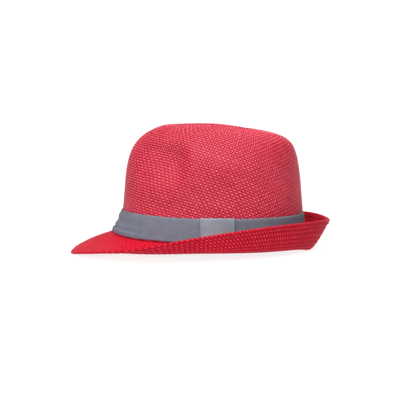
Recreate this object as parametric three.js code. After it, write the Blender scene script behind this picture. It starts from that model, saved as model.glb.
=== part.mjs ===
// A trilby: a short-brimmed sun hat of woven red paper straw, with a grey ribbon band and its keeper.
// Millimetres, +Z up. The front is towards -Y and the wearer's left towards +X. Z = 0 is the table.
// The origin is the middle of the hat's outline, on the table.
import * as THREE from "three";

// Thickness of each layer, and the clearance where two layers meet
const CROWN_WALL = 1.6;
const BRIM_WALL = 1.8;
const HEM_WALL = 2.6;
const RIBBON_WALL = 1.1;
const FIT_GAP = 0.3;

// The brim's joint inside the foot of the crown, and the folded hem along its edge
const COLLAR_ROWS = 3;
const JOINT_GAP = 0.7;
const BEND_INSET = 0.8;
const HEM_WIDTH = 5;
const HEM_STEP = 0.7;

// Facets round the hat, and rows of facets along each piece
const COLUMNS = 70;
const CROWN_ROWS = 20;
const LAST_RING_GAP = 0.5;
const BRIM_ROWS = 9;
const BAND_ROWS = 8;
const BAND_BACK_ROWS = 3;

// The crown's outer face, a row for each ring from the foot to the middle of the top.
// front, side and back: how far the ring reaches from the crown's axis.
// egg: how much narrower it is in front than at the back, as a share of its width.
// heights: how high it is, from the front to the back in equal steps of angle.
const CROWN_RINGS = [
  { name: "foot", egg: 0.05, front: 111.0, side: 85.5, back: 102.3, heights: [23.6, 18.8, 16.8, 15.2, 13.8] },
  { name: "flare", egg: 0.05, front: 106.0, side: 84.2, back: 101.8, heights: [30.5, 24.5, 21.6] },
  { name: "bandTop", egg: 0.05, front: 99.7, side: 82.0, back: 100.8, heights: [47.0, 42.2, 41.2] },
  { name: "wallLow", egg: 0.05, front: 97.4, side: 79.6, back: 99.6, heights: [65.0, 62.0, 60.5] },
  { name: "wallMiddle", egg: 0.05, front: 95.0, side: 78.0, back: 98.3, heights: [83.0, 81.0, 79.0] },
  { name: "wallHigh", egg: 0.06, front: 92.8, side: 75.8, back: 96.5, heights: [98.0, 96.0, 94.0] },
  { name: "shoulderFoot", egg: 0.07, front: 89.6, side: 72.0, back: 94.0, heights: [110.2, 108.0, 106.2] },
  { name: "shoulder", egg: 0.08, front: 83.8, side: 66.0, back: 89.6, heights: [120.6, 119.3, 116.8] },
  { name: "shoulderTop", egg: 0.1, front: 75.2, side: 57.5, back: 81.5, heights: [129.2, 128.8, 124.2] },
  { name: "brow", egg: 0.12, front: 64.0, side: 48.0, back: 70.0, heights: [135.6, 136.0, 135.2, 131.3, 128.9] },
  { name: "ridge", egg: 0.15, front: 51.0, side: 38.5, back: 58.0, heights: [139.9, 140.1, 139.3, 134.0, 131.2] },
  { name: "dentRim", egg: 0.2, front: 42.5, side: 31.5, back: 49.0, heights: [138.6, 137.0, 129.2] },
  { name: "dentWall", egg: 0.25, front: 34.0, side: 23.5, back: 40.0, heights: [132.5, 127.5, 123.0] },
  { name: "dentFloor", egg: 0.3, front: 21.0, side: 12.0, back: 26.0, heights: [124.5, 119.6, 117.4] },
];
const DENT_CENTRE = { reach: 4, height: 118.4 };
const BAND_TOP_RING = 2;
const RIDGE_RING = 10;

// The pinch on each side of the crown's front, where fingers take hold of the hat.
// azimuth is counted from the front; ahead, behind, above and below are its reach from the deepest point.
const PINCH = { azimuth: 60, height: 104, depth: 12, ahead: 44, behind: 17, above: 27, below: 44 };

// The brim's middle surface beyond the crown's foot, a row for each ring: the two lines that its roll is
// drawn towards, and the edge. It is snapped down in front and rolled up at the sides and the back.
const BRIM_RINGS = {
  inner: { egg: 0, front: 127.0, side: 92.0, back: 102.5, heights: [16.8, 15.2, 7.5, 6.2, 3.0, 0.6, -7.6] },
  outer: { egg: 0, front: 143.0, side: 106.0, back: 110.5, heights: [12.4, 10.8, 4.6, 3.2, 1.2, -1.0, -6.2] },
  edge: { egg: -0.06, front: 157.2, side: 118.0, back: 129.6, heights: [0.2, 5.8, 13.4, 26.0, 33.8, 34.4, 32.0] },
};

// Soft pleats across the front of the ribbon: their place as a share of its height, and how far each swells
const PLEATS = [
  { at: 0.2, half: 0.17, swell: 1.3 },
  { at: 0.52, half: 0.16, swell: 1.0 },
  { at: 0.82, half: 0.14, swell: 0.7 },
];
const PLEAT_AZIMUTH = 62;

// The keeper, a flat sleeve over the ribbon on the left side. front and back are where it starts and ends,
// counted from the crown's axis. proud is how far it passes the ribbon, as a share of the ribbon's height.
const KEEPER = { front: -13.2, back: 22.7, wall: 1.2, endShare: 0.55, columns: 10, rows: 5, proud: 0.02 };

const STRAW_RED = 0xcd2d41;
const RIBBON_GREY = 0x7a7884;
const KEEPER_GREY = 0x918f9b;

const radians = THREE.MathUtils.degToRad;

/** A smooth value at a position along evenly spaced values. level keeps it flat at both ends. */
function smooth(values, position, level) {
  const last = values.length - 1;
  const i = THREE.MathUtils.clamp(Math.floor(position), 0, last - 1);
  const f = position - i;
  const here = values[i];
  const next = values[i + 1];
  const before = i > 0 ? values[i - 1] : level ? next : 2 * here - next;
  const after = i < last - 1 ? values[i + 2] : level ? here : 2 * next - here;
  const bend = 2 * before - 5 * here + 4 * next - after + f * (3 * (here - next) + after - before);
  return here + 0.5 * f * (next - before + f * bend);
}

/** 1 in the middle of a bump, falling softly to 0 where distance reaches half. */
function bump(distance, half) {
  return Math.abs(distance) < half ? (1 + Math.cos((Math.PI * distance) / half)) / 2 : 0;
}

/** The angle from the front, from 0 to PI, alike on both sides of the hat. */
function fromFront(angle) {
  return Math.acos(Math.cos(angle));
}

/** A point of an oval ring. The angle is 0 at the front and a quarter turn at the wearer's left. */
function ringPoint(ring, angle) {
  const along = Math.cos(angle);
  const x = ring.side * Math.sin(angle) * (1 - ring.egg * along);
  const y = (ring.back - ring.front) / 2 - ((ring.back + ring.front) / 2) * along;
  const steps = ring.heights.length - 1;
  const z = smooth(ring.heights, (fromFront(angle) / Math.PI) * steps, true);
  return new THREE.Vector3(x, y, z);
}

/** How far the pinches push the crown in, at a height on one of its meridians. */
function pinchDepth(angle, height) {
  const turn = fromFront(angle) - radians(PINCH.azimuth);
  const round = bump(turn, radians(turn < 0 ? PINCH.ahead : PINCH.behind));
  const rise = height - PINCH.height;
  return PINCH.depth * round * bump(rise, rise < 0 ? PINCH.below : PINCH.above);
}

/** A point of the crown's outer face. station counts the rows of CROWN_RINGS, and may lie between two. */
function crownPoint(angle, station) {
  const centre = new THREE.Vector3(0, DENT_CENTRE.reach, DENT_CENTRE.height);
  const across = ringPoint(CROWN_RINGS.at(-1), angle + Math.PI);
  const meridian = [...CROWN_RINGS.map((ring) => ringPoint(ring, angle)), centre, across];
  const [x, y, z] = ["x", "y", "z"].map((axis) => smooth(meridian.map((p) => p[axis]), station, false));
  const point = new THREE.Vector3(x, y, z);
  const inward = new THREE.Vector3(-x, -y, 0).normalize();
  return point.addScaledVector(inward, station < RIDGE_RING ? pinchDepth(angle, z) : 0);
}

/** The direction out of the crown's outer face, at any place but the middle of its top. */
function crownNormal(angle, station) {
  const step = 0.01;
  const round = crownPoint(angle + step, station).sub(crownPoint(angle - step, station));
  const up = crownPoint(angle, station + step).sub(crownPoint(angle, station - step));
  return round.cross(up).normalize();
}

/** A point at some distance out of the crown's outer face, or inside it where out is negative. */
function offCrown(angle, station, out) {
  return crownPoint(angle, station).addScaledVector(crownNormal(angle, station), out);
}

/** The angle on the left side at which the crown's face is at a place along its length. */
function angleAt(reach, station) {
  const front = smooth(CROWN_RINGS.map((ring) => ring.front), station, false);
  const back = smooth(CROWN_RINGS.map((ring) => ring.back), station, false);
  return Math.acos(((back - front) / 2 - reach) / ((back + front) / 2));
}

/** One ring of points round the hat, made by a function of the angle. */
function ringOf(pointAt) {
  return Array.from({ length: COLUMNS }, (_, i) => pointAt((2 * Math.PI * i) / COLUMNS));
}

/** Evenly spaced numbers from first to last, with both ends. */
function spread(first, last, count) {
  return Array.from({ length: count }, (_, i) => first + ((last - first) * i) / (count - 1));
}

/**
 * A closed skin over rings with equally many points. poles close it at the first and last ring;
 * without them the last ring joins the first. The faces are turned outwards.
 */
function skin(rings, poles) {
  const columns = rings[0].length;
  const points = rings.flat();
  const faces = [];
  const joined = poles ? rings.length - 1 : rings.length;
  for (let row = 0; row < joined; row += 1) {
    const low = row * columns;
    const high = ((row + 1) % rings.length) * columns;
    for (let column = 0; column < columns; column += 1) {
      const next = (column + 1) % columns;
      faces.push([low + column, low + next, high + next]);
      faces.push([low + column, high + next, high + column]);
    }
  }
  if (poles) {
    const top = (rings.length - 1) * columns;
    const [start, end] = [points.length, points.length + 1];
    points.push(...poles);
    for (let column = 0; column < columns; column += 1) {
      const next = (column + 1) % columns;
      faces.push([start, next, column]);
      faces.push([top + column, top + next, end]);
    }
  }
  const volume = faces.reduce((sum, [a, b, c]) => {
    return sum + points[a].dot(new THREE.Vector3().crossVectors(points[b], points[c]));
  }, 0);
  const outward = volume > 0 ? faces : faces.map(([a, b, c]) => [a, c, b]);
  const geometry = new THREE.BufferGeometry().setFromPoints(points);
  geometry.setIndex(outward.flat());
  geometry.computeVertexNormals();
  return geometry;
}

const crownStations = spread(0, CROWN_RINGS.length - LAST_RING_GAP, CROWN_ROWS);

/** The crown: a woven hood of even thickness, cut level at its foot and open below. */
function crownGeometry() {
  const outer = crownStations.map((station) => ringOf((angle) => crownPoint(angle, station)));
  const inner = crownStations.map((station) => ringOf((angle) => offCrown(angle, station, -CROWN_WALL)));
  inner[0].forEach((point, i) => point.setZ(outer[0][i].z));
  const top = new THREE.Vector3(0, DENT_CENTRE.reach, DENT_CENTRE.height);
  const ceiling = top.clone().setZ(DENT_CENTRE.height - CROWN_WALL);
  return skin([...inner.reverse(), ...outer], [ceiling, top]);
}

/** The brim's middle surface at one angle, as points from the top of the collar out to the edge. */
function brimMeridian(angle) {
  const sunk = CROWN_WALL + FIT_GAP + BRIM_WALL / 2;
  const collar = crownStations.slice(0, COLLAR_ROWS).map((station) => offCrown(angle, station, -sunk)).reverse();
  const drop = JOINT_GAP + BRIM_WALL / 2;
  const foot = ringPoint(CROWN_RINGS[0], angle);
  const bend = offCrown(angle, 0, -CROWN_WALL - BEND_INSET).setZ(foot.z - drop + FIT_GAP);
  const outer = ringPoint(BRIM_RINGS.outer, angle);
  const edge = ringPoint(BRIM_RINGS.edge, angle);
  const inner = ringPoint(BRIM_RINGS.inner, angle);
  const roll = new THREE.CubicBezierCurve3(foot.setZ(foot.z - drop), inner, outer, edge);
  const nearEdge = (width) => 1 - width / (3 * outer.distanceTo(edge));
  const body = spread(0, nearEdge(HEM_WIDTH), BRIM_ROWS);
  const hem = [nearEdge(HEM_WIDTH - HEM_STEP), 1];
  return [...collar, bend, ...[...body, ...hem].map((t) => roll.getPoint(t))];
}

/** The brim: collar, break, roll and hem, pressed flat where it rests on the table. */
function brimGeometry() {
  const meridians = ringOf(brimMeridian);
  const rows = meridians[0].length;
  const halves = spread(0, rows - 1, rows).map((row) => (row < rows - 2 ? BRIM_WALL : HEM_WALL) / 2);
  const upper = [];
  const lower = [];
  for (let row = 0; row < rows; row += 1) {
    const normals = meridians.map((points, column) => {
      const ahead = meridians[(column + 1) % COLUMNS][row];
      const behind = meridians[(column + COLUMNS - 1) % COLUMNS][row];
      const outward = points[Math.min(row + 1, rows - 1)].clone().sub(points[Math.max(row - 1, 0)]);
      return outward.cross(ahead.clone().sub(behind)).normalize();
    });
    upper.push(meridians.map((points, i) => points[row].clone().addScaledVector(normals[i], halves[row])));
    lower.push(meridians.map((points, i) => points[row].clone().addScaledVector(normals[i], -halves[row])));
  }
  const nose = meridians.map((points) => {
    const outward = points[rows - 1].clone().sub(points[rows - 2]).normalize();
    return points[rows - 1].clone().addScaledVector(outward, HEM_WALL / 2);
  });
  const rings = [...upper, nose, ...lower.reverse()];
  rings.flat().forEach((point) => point.setZ(Math.max(point.z, 0)));
  return skin(rings);
}

/** How far the ribbon's outer face stands off the crown, at a share of its height. */
function ribbonFace(angle, share) {
  const front = bump(fromFront(angle), radians(PLEAT_AZIMUTH));
  const swell = PLEATS.reduce((sum, pleat) => sum + pleat.swell * bump(share - pleat.at, pleat.half), 0);
  return FIT_GAP + RIBBON_WALL + front * swell;
}

/** The band: a ribbon round the foot of the crown, with soft pleats across its front. */
function bandGeometry() {
  const shares = spread(0, 1, BAND_ROWS);
  const outer = shares.map((share) => {
    return ringOf((angle) => offCrown(angle, share * BAND_TOP_RING, ribbonFace(angle, share)));
  });
  const inner = crownStations.slice(0, BAND_BACK_ROWS).concat(BAND_TOP_RING).map((station) => {
    return ringOf((angle) => offCrown(angle, station, FIT_GAP));
  });
  return skin([...outer, ...inner.reverse()]);
}

/** The keeper: a flat sleeve with softened edges that lies on the ribbon. */
function keeperGeometry() {
  const shares = spread(-KEEPER.proud, 1 + KEEPER.proud, KEEPER.rows);
  const loops = spread(KEEPER.front, KEEPER.back, KEEPER.columns).map((reach, i) => {
    const atEnd = i === 0 || i === KEEPER.columns - 1;
    const wall = KEEPER.wall * (atEnd ? KEEPER.endShare : 1);
    const face = (share, out) => {
      const station = share * BAND_TOP_RING;
      const angle = angleAt(reach, station);
      return offCrown(angle, station, ribbonFace(angle, share) + FIT_GAP + out);
    };
    return [...shares.map((share) => face(share, wall)), ...shares.map((share) => face(share, 0)).reverse()];
  });
  const middle = (loop) => {
    return loop.reduce((sum, p) => sum.add(p), new THREE.Vector3()).divideScalar(loop.length);
  };
  return skin(loops, [middle(loops[0]), middle(loops[loops.length - 1])]);
}

/** A named piece of the hat with its own finish. */
function piece(name, geometry, color, roughness) {
  const mesh = new THREE.Mesh(geometry, new THREE.MeshStandardMaterial({ color, roughness, metalness: 0 }));
  mesh.name = name;
  return mesh;
}

const hat = new THREE.Group();
hat.add(
  piece("crown", crownGeometry(), STRAW_RED, 0.75),
  piece("brim", brimGeometry(), STRAW_RED, 0.75),
  piece("band", bandGeometry(), RIBBON_GREY, 0.85),
  piece("keeper", keeperGeometry(), KEEPER_GREY, 0.8),
);
hat.position.y = (BRIM_RINGS.edge.front - BRIM_RINGS.edge.back) / 2;

export default hat;
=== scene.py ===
"""Looks of a trilby sun hat: woven red paper straw, a grey ribbon band and the band's keeper.

The tables hold millimetres, as in the part's source, and the meshes are made in metres in the model's
frame: +Z up, the front towards -Y and the wearer's left towards +X, with the table at Z = 0.
"""
import logging
import math
from dataclasses import dataclass
from enum import Enum
from typing import Any, Callable, Optional, Sequence, Union

import bmesh
import bpy
import numpy as np
from mathutils import Matrix, Vector


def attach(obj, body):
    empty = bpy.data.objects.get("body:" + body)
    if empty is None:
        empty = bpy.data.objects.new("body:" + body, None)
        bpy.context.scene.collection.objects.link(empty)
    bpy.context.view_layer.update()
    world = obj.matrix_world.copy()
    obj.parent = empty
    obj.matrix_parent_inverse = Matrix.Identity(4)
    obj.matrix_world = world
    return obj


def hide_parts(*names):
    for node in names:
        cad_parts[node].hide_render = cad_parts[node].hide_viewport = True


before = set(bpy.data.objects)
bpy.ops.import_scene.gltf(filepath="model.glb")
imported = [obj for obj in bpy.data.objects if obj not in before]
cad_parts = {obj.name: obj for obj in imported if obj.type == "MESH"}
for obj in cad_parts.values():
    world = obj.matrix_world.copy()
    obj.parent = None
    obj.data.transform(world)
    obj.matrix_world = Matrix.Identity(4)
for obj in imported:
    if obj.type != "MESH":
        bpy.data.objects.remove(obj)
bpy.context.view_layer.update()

LOG = logging.getLogger("sun_hat")
Array = np.ndarray
Point = tuple[float, float, float]
MM = 0.001
TURN = 2.0 * math.pi

# Thickness of each layer
CROWN_WALL = 1.6
BRIM_WALL = 1.8
HEM_WALL = 2.6
RIBBON_WALL = 1.1

# Clearance between layers side by side and under the crown's foot, and how far inside it the brim bends
FIT_GAP = 0.3
JOINT_GAP = 0.7
BEND_INSET = 0.8

# The hem, and the step up to it
HEM_WIDTH = 5.0
HEM_STEP = 0.7

# The ribbon's upper edge and the ridge, above which nothing is pushed in, counted in rings of the crown
BAND_TOP_STATION = 2.0
RIDGE_STATION = 10.0

# How far the crown's axis lies behind the middle of the hat's outline
AXIS_SHIFT = 13.8

# How near each other two stations, reaches or runs count as near, and as the same
NEAR = 1e-3
SAME = 1e-4


def smooth(values: Array, position: Array, level: bool) -> Array:
    """A smooth value at positions along evenly spaced values.

    Args:
        values: One row for each place, with either one number or one point for each position.
        position: Where to read, counted in places.
        level: Whether the curve is flat at both ends.

    Returns:
        The value or point for each position.
    """
    last = len(values) - 1
    i = np.clip(np.floor(position).astype(int), 0, last - 1)
    f = position - i
    if values.ndim > 1:
        own = np.arange(len(position))
        here, ahead = values[i, own], values[i + 1, own]
        before, after = values[np.maximum(i - 1, 0), own], values[np.minimum(i + 2, last), own]
        first, final, f = (i == 0)[:, None], (i == last - 1)[:, None], f[:, None]
    else:
        here, ahead = values[i], values[i + 1]
        before, after = values[np.maximum(i - 1, 0)], values[np.minimum(i + 2, last)]
        first, final = i == 0, i == last - 1
    before = np.where(first, ahead if level else 2 * here - ahead, before)
    after = np.where(final, here if level else 2 * ahead - here, after)
    bend = 2 * before - 5 * here + 4 * ahead - after + f * (3 * (here - ahead) + after - before)
    return here + 0.5 * f * (ahead - before + f * bend)


def bump(distance: Array, half: Union[float, Array]) -> Array:
    """1 in the middle of a bump, falling softly to 0 where the distance reaches half."""
    return np.where(np.abs(distance) < half, (1 + np.cos(np.pi * distance / half)) / 2, 0.0)


def from_front(angle: Array) -> Array:
    """The angle from the front, from 0 to pi, alike on both sides of the hat."""
    return np.arccos(np.clip(np.cos(angle), -1, 1))


def degrees_from(azimuth: float, angle: Array) -> Array:
    """The degrees from an azimuth to angles in radians, from -180 to 180."""
    return (np.degrees(angle) - azimuth + 180) % 360 - 180


def unit(vectors: Array) -> Array:
    """Vectors of length 1 in the same directions."""
    return vectors / np.linalg.norm(vectors, axis=-1, keepdims=True)


def put_in_scene(name: str, data: Any) -> bpy.types.Object:
    """Makes an object and links it to the scene.

    Args:
        name: The object's name.
        data: Its mesh, camera or light.

    Returns:
        The object.
    """
    made = bpy.data.objects.new(name, data)
    bpy.context.scene.collection.objects.link(made)
    return made


def soft_object(name: str, mesh: bmesh.types.BMesh) -> bpy.types.Object:
    """Makes an object with smooth faces and frees the mesh that it is made of.

    Args:
        name: The object's name.
        mesh: What it is made of.

    Returns:
        The object, in the scene.
    """
    for face in mesh.faces:
        face.smooth = True
    made = bpy.data.meshes.new(name)
    mesh.to_mesh(made)
    mesh.free()
    return put_in_scene(name, made)


@dataclass(frozen=True)
class Ring:
    """An oval ring of the hat, in millimetres from the crown's axis and the table.

    name says which ring it is. heights run from the front to the back in equal steps of angle, and egg
    is how much narrower the ring is in front than at the back.
    """

    name: str
    egg: float
    front: float
    side: float
    back: float
    heights: tuple[float, ...]

    def points(self, angle: Array) -> Array:
        """The ring's points.

        Args:
            angle: Their angles, where 0 is the front and a quarter turn the wearer's left.

        Returns:
            One point for each angle.
        """
        along = np.cos(angle)
        x = self.side * np.sin(angle) * (1 - self.egg * along)
        y = (self.back - self.front) / 2 - (self.back + self.front) / 2 * along
        z = smooth(np.array(self.heights), from_front(angle) / math.pi * (len(self.heights) - 1), True)
        return np.stack([x, y, z], axis=-1)


@dataclass(frozen=True)
class Hollow:
    """A soft hollow of the crown's wall, or a swelling where depth is below 0.

    azimuth is counted from the front towards the wearer's left, in degrees, as is half_turn, its reach
    to each side. rise is its reach up and down.
    """

    azimuth: float
    height: float
    half_turn: float
    rise: float
    depth: float

    def push(self, angle: Array, height: Array) -> Array:
        """How far the hollow pushes the wall in at each angle and height."""
        across = bump(degrees_from(self.azimuth, angle), self.half_turn)
        return self.depth * across * bump(height - self.height, self.rise)


class CrownForm:
    """The crown's outer face. A station counts the rings from the foot to the middle of the top."""

    RINGS = (
        Ring("foot", 0.05, 111.0, 85.5, 102.3, (23.6, 18.8, 16.8, 15.2, 13.8)),
        Ring("flare", 0.05, 106.0, 84.2, 101.8, (30.5, 24.5, 21.6)),
        Ring("band top", 0.05, 99.7, 82.0, 100.8, (47.0, 42.2, 41.2)),
        Ring("wall, low", 0.05, 97.4, 79.6, 99.6, (65.0, 62.0, 60.5)),
        Ring("wall, middle", 0.05, 95.0, 78.0, 98.3, (83.0, 81.0, 79.0)),
        Ring("wall, high", 0.06, 92.8, 75.8, 96.5, (98.0, 96.0, 94.0)),
        Ring("shoulder foot", 0.07, 89.6, 72.0, 94.0, (110.2, 108.0, 106.2)),
        Ring("shoulder", 0.08, 83.8, 66.0, 89.6, (120.6, 119.3, 116.8)),
        Ring("shoulder top", 0.1, 75.2, 57.5, 81.5, (129.2, 128.8, 124.2)),
        Ring("brow", 0.12, 64.0, 48.0, 70.0, (135.6, 136.0, 135.2, 131.3, 128.9)),
        Ring("ridge", 0.15, 51.0, 38.5, 58.0, (139.9, 140.1, 139.3, 134.0, 131.2)),
        Ring("dent rim", 0.2, 42.5, 31.5, 49.0, (138.6, 137.0, 129.2)),
        Ring("dent wall", 0.25, 34.0, 23.5, 40.0, (132.5, 127.5, 123.0)),
        Ring("dent floor", 0.3, 21.0, 12.0, 26.0, (124.5, 119.6, 117.4)),
    )
    DENT_CENTRE = (0.0, 4.0, 118.4)
    PINCH_AZIMUTH, PINCH_HEIGHT, PINCH_DEPTH = 60.0, 104.0, 12.0
    PINCH_AHEAD, PINCH_BEHIND, PINCH_ABOVE, PINCH_BELOW = 44.0, 17.0, 27.0, 44.0
    HOLLOWS = (
        Hollow(azimuth=93, height=72, half_turn=17, rise=22, depth=0.9),
        Hollow(azimuth=128, height=78, half_turn=16, rise=26, depth=0.9),
        Hollow(azimuth=52, height=58, half_turn=30, rise=13, depth=1.0),
        Hollow(azimuth=52, height=77, half_turn=32, rise=12, depth=-0.8),
        Hollow(azimuth=160, height=84, half_turn=20, rise=24, depth=0.8),
        Hollow(azimuth=222, height=70, half_turn=18, rise=25, depth=0.9),
        Hollow(azimuth=262, height=76, half_turn=17, rise=22, depth=0.8),
        Hollow(azimuth=310, height=60, half_turn=28, rise=14, depth=0.9),
        Hollow(azimuth=5, height=88, half_turn=20, rise=26, depth=-0.8),
    )
    TABLE_ANGLES, TABLE_STATIONS = 120, 281
    NORMAL_STEP = 0.01

    def __init__(self) -> None:
        """Measures how far the meridians reach on average from the foot to each station."""
        self.pole = float(len(self.RINGS))
        angles = np.linspace(0, TURN, self.TABLE_ANGLES + 1)[:-1]
        self.stations = np.linspace(0, self.pole, self.TABLE_STATIONS)
        shape = (len(angles), len(self.stations))
        points = self.points(np.repeat(angles, shape[1]), np.tile(self.stations, shape[0]))
        steps = np.linalg.norm(np.diff(points.reshape(*shape, 3), axis=1), axis=2).mean(axis=0)
        self.reaches = np.concatenate([[0.0], np.cumsum(steps)])

    def points(self, angle: Array, station: Array) -> Array:
        """Points of the crown's outer face.

        Args:
            angle: Their angles.
            station: Their stations.

        Returns:
            Millimetres from the crown's axis and the table.
        """
        rings = [ring.points(angle) for ring in self.RINGS]
        centre = np.broadcast_to(np.array(self.DENT_CENTRE), rings[0].shape)
        across = self.RINGS[-1].points(angle + math.pi)
        point = smooth(np.stack([*rings, centre, across]), station, False)
        inward = -point * np.array([1.0, 1.0, 0.0])
        push = self.pinch(angle, point[:, 2]) + sum(h.push(angle, point[:, 2]) for h in self.HOLLOWS)
        return point + unit(inward) * np.where(station < RIDGE_STATION, push, 0.0)[:, None]

    def pinch(self, angle: Array, height: Array) -> Array:
        """How far the two pinches push the crown in.

        Args:
            angle: The angles of places on it.
            height: Their heights.

        Returns:
            Millimetres for each place.
        """
        turn = from_front(angle) - math.radians(self.PINCH_AZIMUTH)
        half = np.radians(np.where(turn < 0, self.PINCH_AHEAD, self.PINCH_BEHIND))
        rise = height - self.PINCH_HEIGHT
        return self.PINCH_DEPTH * bump(turn, half) * bump(
            rise, np.where(rise < 0, self.PINCH_BELOW, self.PINCH_ABOVE))

    def normals(self, angle: Array, station: Array) -> Array:
        """The directions out of the crown's outer face.

        Args:
            angle: The angles of places on it.
            station: Their stations.

        Returns:
            A vector of length 1 for each place.
        """
        step = self.NORMAL_STEP
        around = self.points(angle + step, station) - self.points(angle - step, station)
        up = self.points(angle, station + step) - self.points(angle, station - step)
        return unit(np.cross(around, up))

    def off(self, angle: Array, station: Array, out: Union[float, Array]) -> Array:
        """Points at a distance out of the crown's outer face, or inside it where out is below 0."""
        return self.points(angle, station) + self.normals(angle, station) * np.reshape(out, (-1, 1))

    def reach(self, station: Union[float, Array]) -> Union[float, Array]:
        """The mean length along the meridians from the crown's foot to a station."""
        return np.interp(station, self.stations, self.reaches)

    def station(self, reach: Array) -> Array:
        """The station at a mean length from the crown's foot."""
        return np.interp(reach, self.reaches, self.stations)

    def even_stations(self, first: float, last: float, count: int) -> list[float]:
        """Stations from first to last that lie evenly along the meridians."""
        inner = self.station(np.linspace(self.reach(first), self.reach(last), count))
        return [first, *inner[1:-1].tolist(), last]

    def angle_at(self, reach: Array, station: Array) -> Array:
        """The angles on the left side at which the face is at places along the hat's length.

        Args:
            reach: The places, in millimetres behind the crown's axis.
            station: Their stations.

        Returns:
            One angle for each place.
        """
        front = smooth(np.array([ring.front for ring in self.RINGS]), station, False)
        back = smooth(np.array([ring.back for ring in self.RINGS]), station, False)
        return np.arccos(((back - front) / 2 - reach) / ((back + front) / 2))


@dataclass(frozen=True)
class Lattice:
    """Two families of straws that cross: their numbers round the hat, and how they lean.

    The rows climb by one for each row_pitch of reach, and swing more or less steeply round the hat.
    The ribs lean by rib_lean of their spacing for each millimetre of reach.
    """

    rows: int
    ribs: int
    row_pitch: float
    rib_lean: float
    swing: float = 0.0
    swing_from: float = 0.0
    swings: int = 1
    rib_swing: float = 0.0
    NEWTON_STEPS = 9

    def phase(self, turn: Array) -> Array:
        """Where in their swing the straws are at each turn."""
        return self.swings * TURN * turn - math.radians(self.swing_from)

    def cells(self, turn: Array, reach: Array) -> Array:
        """Which row and rib cross at each place.

        Args:
            turn: The places' turns, once round from 0 to 1.
            reach: Their reaches in millimetres.

        Returns:
            Two numbers for each place, whose whole parts count the straws.
        """
        phase = self.phase(turn)
        row = self.rows * turn - self.swing * np.sin(phase) + reach / self.row_pitch
        rib = self.ribs * turn + self.rib_swing * np.sin(phase) - self.rib_lean * reach
        return np.stack([row, rib], axis=-1)

    def crossing(self, row: Array, rib: Array) -> tuple[Array, Array]:
        """Where rows and ribs cross, found by stepping closer along the straws' slopes.

        Args:
            row: The rows.
            rib: The ribs.

        Returns:
            The turn and the reach of each crossing.
        """
        lean = self.rib_lean * self.row_pitch
        turn = (rib + lean * row) / (self.ribs + lean * self.rows)
        reach = self.row_pitch * (row - self.rows * turn)
        for _ in range(self.NEWTON_STEPS):
            steep = self.swings * TURN * np.cos(self.phase(turn))
            row_rate, rib_rate = self.rows - self.swing * steep, self.ribs + self.rib_swing * steep
            miss = self.cells(turn, reach) - np.stack([row, rib], axis=-1)
            scale = -self.rib_lean * row_rate - rib_rate / self.row_pitch
            turn = turn + (self.rib_lean * miss[:, 0] + miss[:, 1] / self.row_pitch) / scale
            reach = reach - (row_rate * miss[:, 1] - rib_rate * miss[:, 0]) / scale
        return turn, reach


@dataclass(frozen=True)
class Relief:
    """How the straws rise over each other and fall away to their sides, in millimetres.

    lead is how far the ribs lie below the rows, which makes the rows' floats long. bunch and stretch
    are how far the faces' corners gather at a crossing, and along the straw on top of it, in crossings.
    """

    wave: float = 0.34
    drop: float = 0.6
    lead: float = 0.26
    bunch: float = 0.02
    stretch: float = 0.09

    def height(self, cells: Array, side: Union[float, Array] = 1.0) -> Array:
        """The height of a woven face.

        Args:
            cells: Which row and rib cross at each place.
            side: 1 for the upper or outer face, and -1 for the other, which has the other straw on top.

        Returns:
            Millimetres out of the plain face.
        """
        row, rib = cells[:, 0], cells[:, 1]
        row_wave = side * np.where(np.floor(row) % 2, -1, 1) * np.sin(np.pi * rib)
        rib_wave = -side * np.where(np.floor(rib) % 2, -1, 1) * np.sin(np.pi * row)
        row_height = self.wave * row_wave - self.drop * (1 - self.arc(row))
        rib_height = self.wave * rib_wave - self.drop * (1 - self.arc(rib)) - self.lead
        return np.maximum(row_height, rib_height)

    def arc(self, place: Array) -> Array:
        """The round section of a straw, from 0 at its sides to 1 at its middle."""
        return np.sqrt(np.maximum(1 - (2 * (place % 1) - 1) ** 2, 0))

    def gathered(self, row: Array, rib: Array, side: float) -> tuple[Array, Array]:
        """Lattice places moved so that each crossing's dome is long along the straw on top."""
        top = side * np.sin(np.pi * row) * np.sin(np.pi * rib)
        return (row - (self.bunch - self.stretch * top) * np.sin(TURN * row),
                rib - (self.bunch + self.stretch * top) * np.sin(TURN * rib))


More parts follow.
